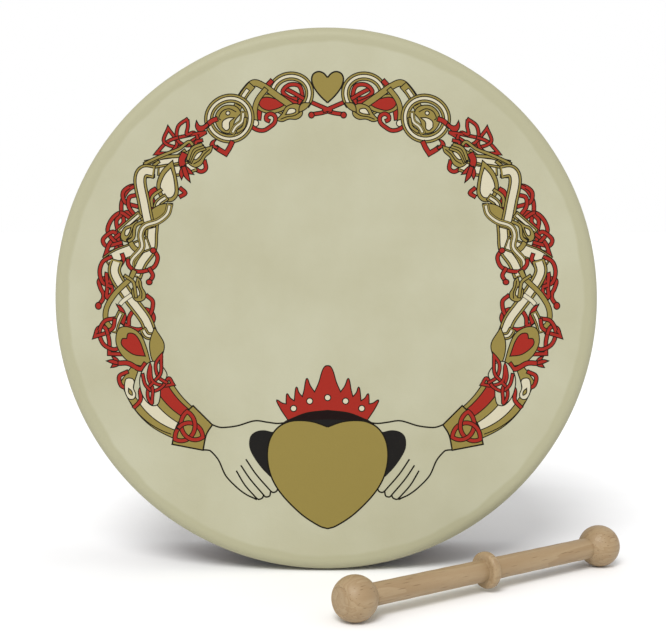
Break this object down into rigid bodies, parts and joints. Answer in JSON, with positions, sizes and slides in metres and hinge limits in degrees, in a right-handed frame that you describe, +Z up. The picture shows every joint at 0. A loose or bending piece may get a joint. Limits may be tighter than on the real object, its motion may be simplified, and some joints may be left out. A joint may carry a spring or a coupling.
{
  "type": "bodhran",
  "caption": "Round frame drum with a skin head over a bent-wood shell, crossed bars at the open back, and a turned wooden double-ended beater.",
  "frame": {"origin": "centre of the playing face", "axes": "+Z up, +Y from the playing face to the open back along the drum's axis, +X to the right of someone looking at the playing face; the table is at z = -152.5 mm"},
  "size_m": [0.3207, 0.1824, 0.305],
  "materials": {
    "shell_wood": "dark stained bent ash, satin",
    "goatskin": "scraped skin, matt, with a printed design",
    "band_leather": "black strip, matt",
    "nail_brass": "antique",
    "bar_wood": "planed beech, satin",
    "screw_steel": "zinc plated",
    "tipper_beech": "turned, unvarnished"
  },
  "bodies": {
    "drum": {"shell": "shell_wood", "drumhead": "goatskin", "skin_band": "band_leather", "band_nails": "nail_brass", "crossbar_level": "bar_wood", "crossbar_upright": "bar_wood", "bar_screws": "screw_steel", "lap_screw": "screw_steel"},
    "tipper": {"tipper": "tipper_beech"}
  },
  "joints": [
    {"name": "tipper_lift", "type": "slide", "parent": "drum", "child": "tipper", "axis": [0, -0.6, 0.8], "range_m": [0, 0.3]}
  ]
}
